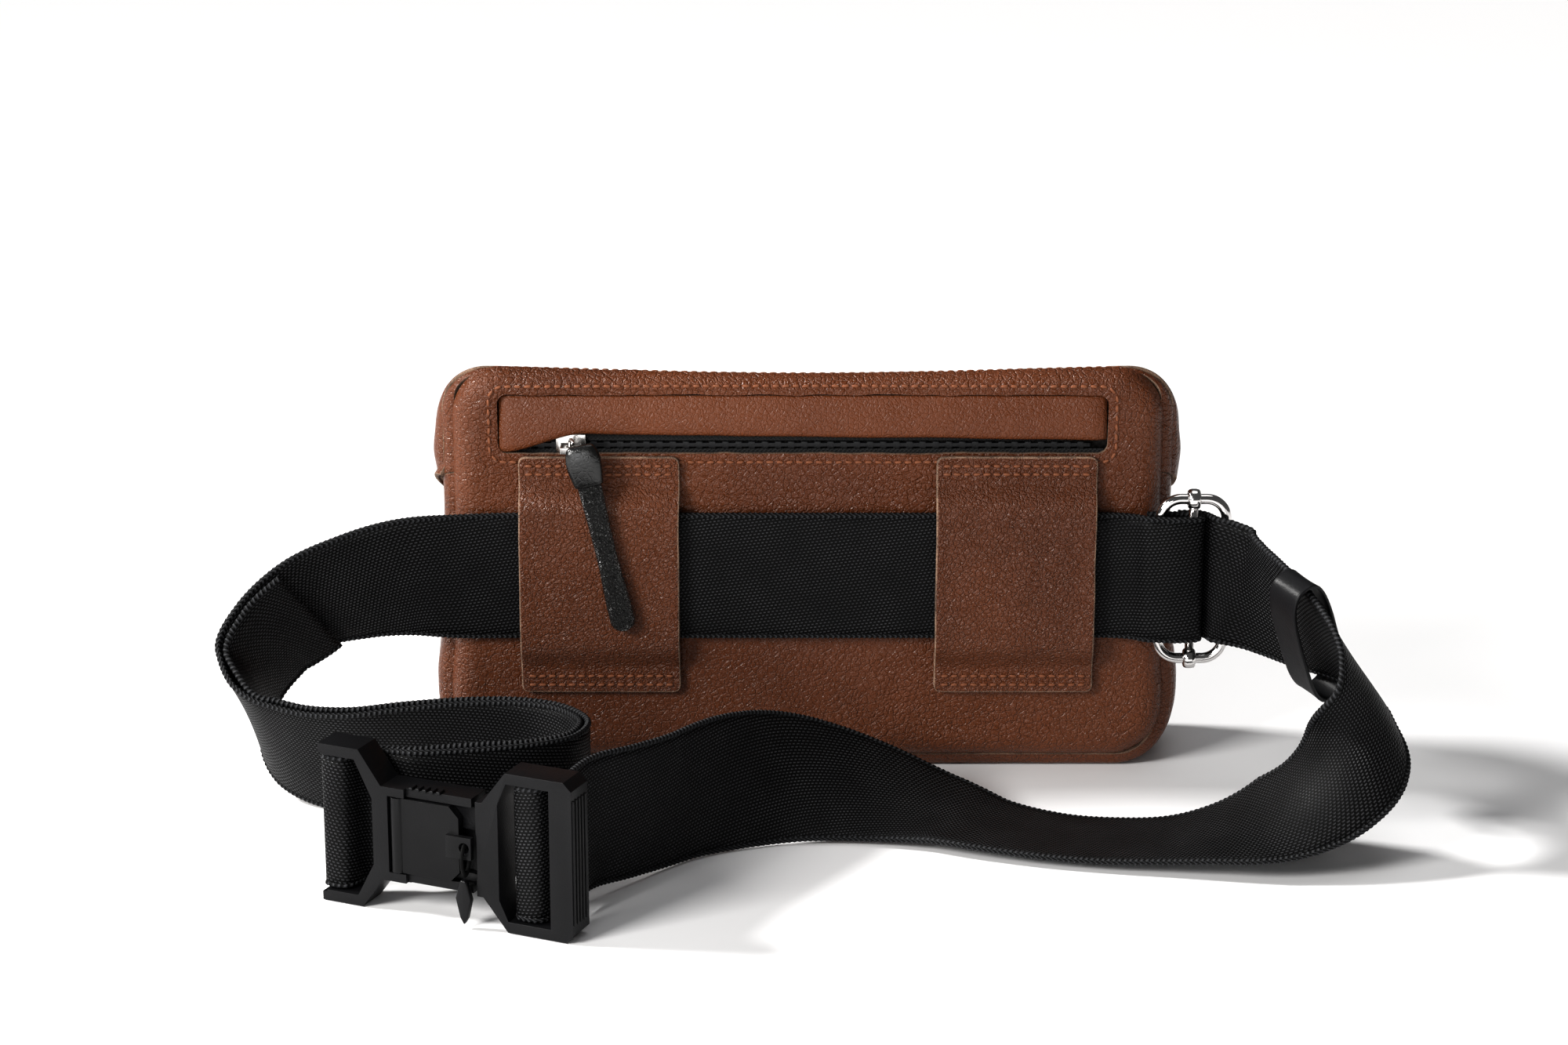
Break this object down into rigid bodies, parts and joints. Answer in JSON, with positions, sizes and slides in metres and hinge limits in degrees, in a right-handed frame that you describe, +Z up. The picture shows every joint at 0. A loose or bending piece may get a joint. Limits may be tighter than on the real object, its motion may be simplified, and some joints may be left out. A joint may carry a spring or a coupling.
{
  "type": "waist pack",
  "caption": "Small leather waist pack with a top zip, a zipped back pocket and a webbing belt that closes with a magnetic lever buckle.",
  "frame": {"origin": "middle of the base, on the surface the pack stands on", "axes": "+X along the pack towards the adjuster, -Y out of the body side that carries the belt, +Z up"},
  "size_m": [0.3576, 0.1808, 0.13],
  "materials": {
    "leather": "full-grain, satin",
    "lining": "woven",
    "webbing": "twill woven",
    "black_plastic": "matt moulded",
    "chrome": "polished",
    "zip_tape": "woven",
    "zip_metal": "nickel plated",
    "pull_leather": "pebbled",
    "base_board": "plain sheet",
    "magnet": "plated"
  },
  "bodies": {
    "pack": {"back_panel": "leather", "back_zip_tape_lower": "zip_tape", "back_zip_tape_upper": "zip_tape", "back_zip_teeth": "zip_metal", "base_board": "base_board", "belt_loop_left": "leather", "belt_loop_right": "leather", "front_panel": "leather", "lining_back": "lining", "lining_front": "lining", "lower_gusset": "leather", "main_zip_stop_left": "zip_metal", "main_zip_stop_right": "zip_metal", "main_zip_tape_front": "zip_tape", "main_zip_tape_rear": "zip_tape", "main_zip_teeth": "zip_metal", "pocket_bag": "lining", "pocket_flap": "leather", "upper_gusset_front": "leather", "upper_gusset_rear": "leather", "zip_end_tab_left": "leather", "zip_end_tab_right": "leather"},
    "belt": {"belt_webbing": "webbing", "belt_wrap_left": "webbing", "belt_tail_left": "webbing", "strap_right": "webbing", "adjuster_frame": "chrome", "adjuster_bar": "chrome", "buckle_frame": "black_plastic", "magnet_left": "magnet", "latch_pin": "chrome"},
    "back_slider": {"back_zip_slider": "zip_metal", "back_pull_link": "zip_metal"},
    "back_pull": {"back_pull": "pull_leather"},
    "main_slider": {"main_zip_slider": "zip_metal"},
    "main_pull": {"main_zip_pull": "pull_leather"},
    "keeper": {"keeper": "black_plastic"},
    "buckle_right": {"buckle_hook": "black_plastic", "magnet_right": "magnet", "strap_right_loop": "webbing"},
    "latch": {"latch_plate": "black_plastic"},
    "tab": {"pull_cord": "webbing", "pull_tab": "black_plastic"}
  },
  "joints": [
    {"name": "belt_slide", "type": "slide", "parent": "pack", "child": "belt", "axis": [1, 0, 0], "range_m": [-0.01, 0.012]},
    {"name": "back_zip", "type": "slide", "parent": "pack", "child": "back_slider", "axis": [1, 0, 0], "range_m": [-0.01, 0.15]},
    {"name": "back_pull_lift", "type": "hinge", "parent": "back_slider", "child": "back_pull", "pos_m": [-0.07, -0.0319, 0.107], "axis": [-1, 0, 0], "range_deg": [0, 75]},
    {"name": "main_zip", "type": "slide", "parent": "pack", "child": "main_slider", "axis": [1, 0, 0], "range_m": [-0.15, 0.008]},
    {"name": "main_pull_lift", "type": "hinge", "parent": "main_slider", "child": "main_pull", "pos_m": [0.0736, -0.00685, 0.1241], "axis": [0, 0.8575, -0.5145], "range_deg": [0, 80]},
    {"name": "keeper_slide", "type": "slide", "parent": "belt", "child": "keeper", "axis": [0.5536, -0.8137, -0.1771], "range_m": [-0.002, 0.002]},
    {"name": "buckle_release", "type": "slide", "parent": "belt", "child": "buckle_right", "axis": [0.9136, -0.4067, 0], "range_m": [0, 0.014]},
    {"name": "latch_lift", "type": "hinge", "parent": "belt", "child": "latch", "pos_m": [-0.11554, -0.13381, 0.0237], "axis": [0, 0, -1], "range_deg": [0, 20], "stiffness_Nm_per_rad": 0.02},
    {"name": "tab_swing", "type": "hinge", "parent": "latch", "child": "tab", "pos_m": [-0.09517, -0.14288, 0.0244], "axis": [-0.4067, -0.9136, 0], "range_deg": [-12, 12]}
  ]
}
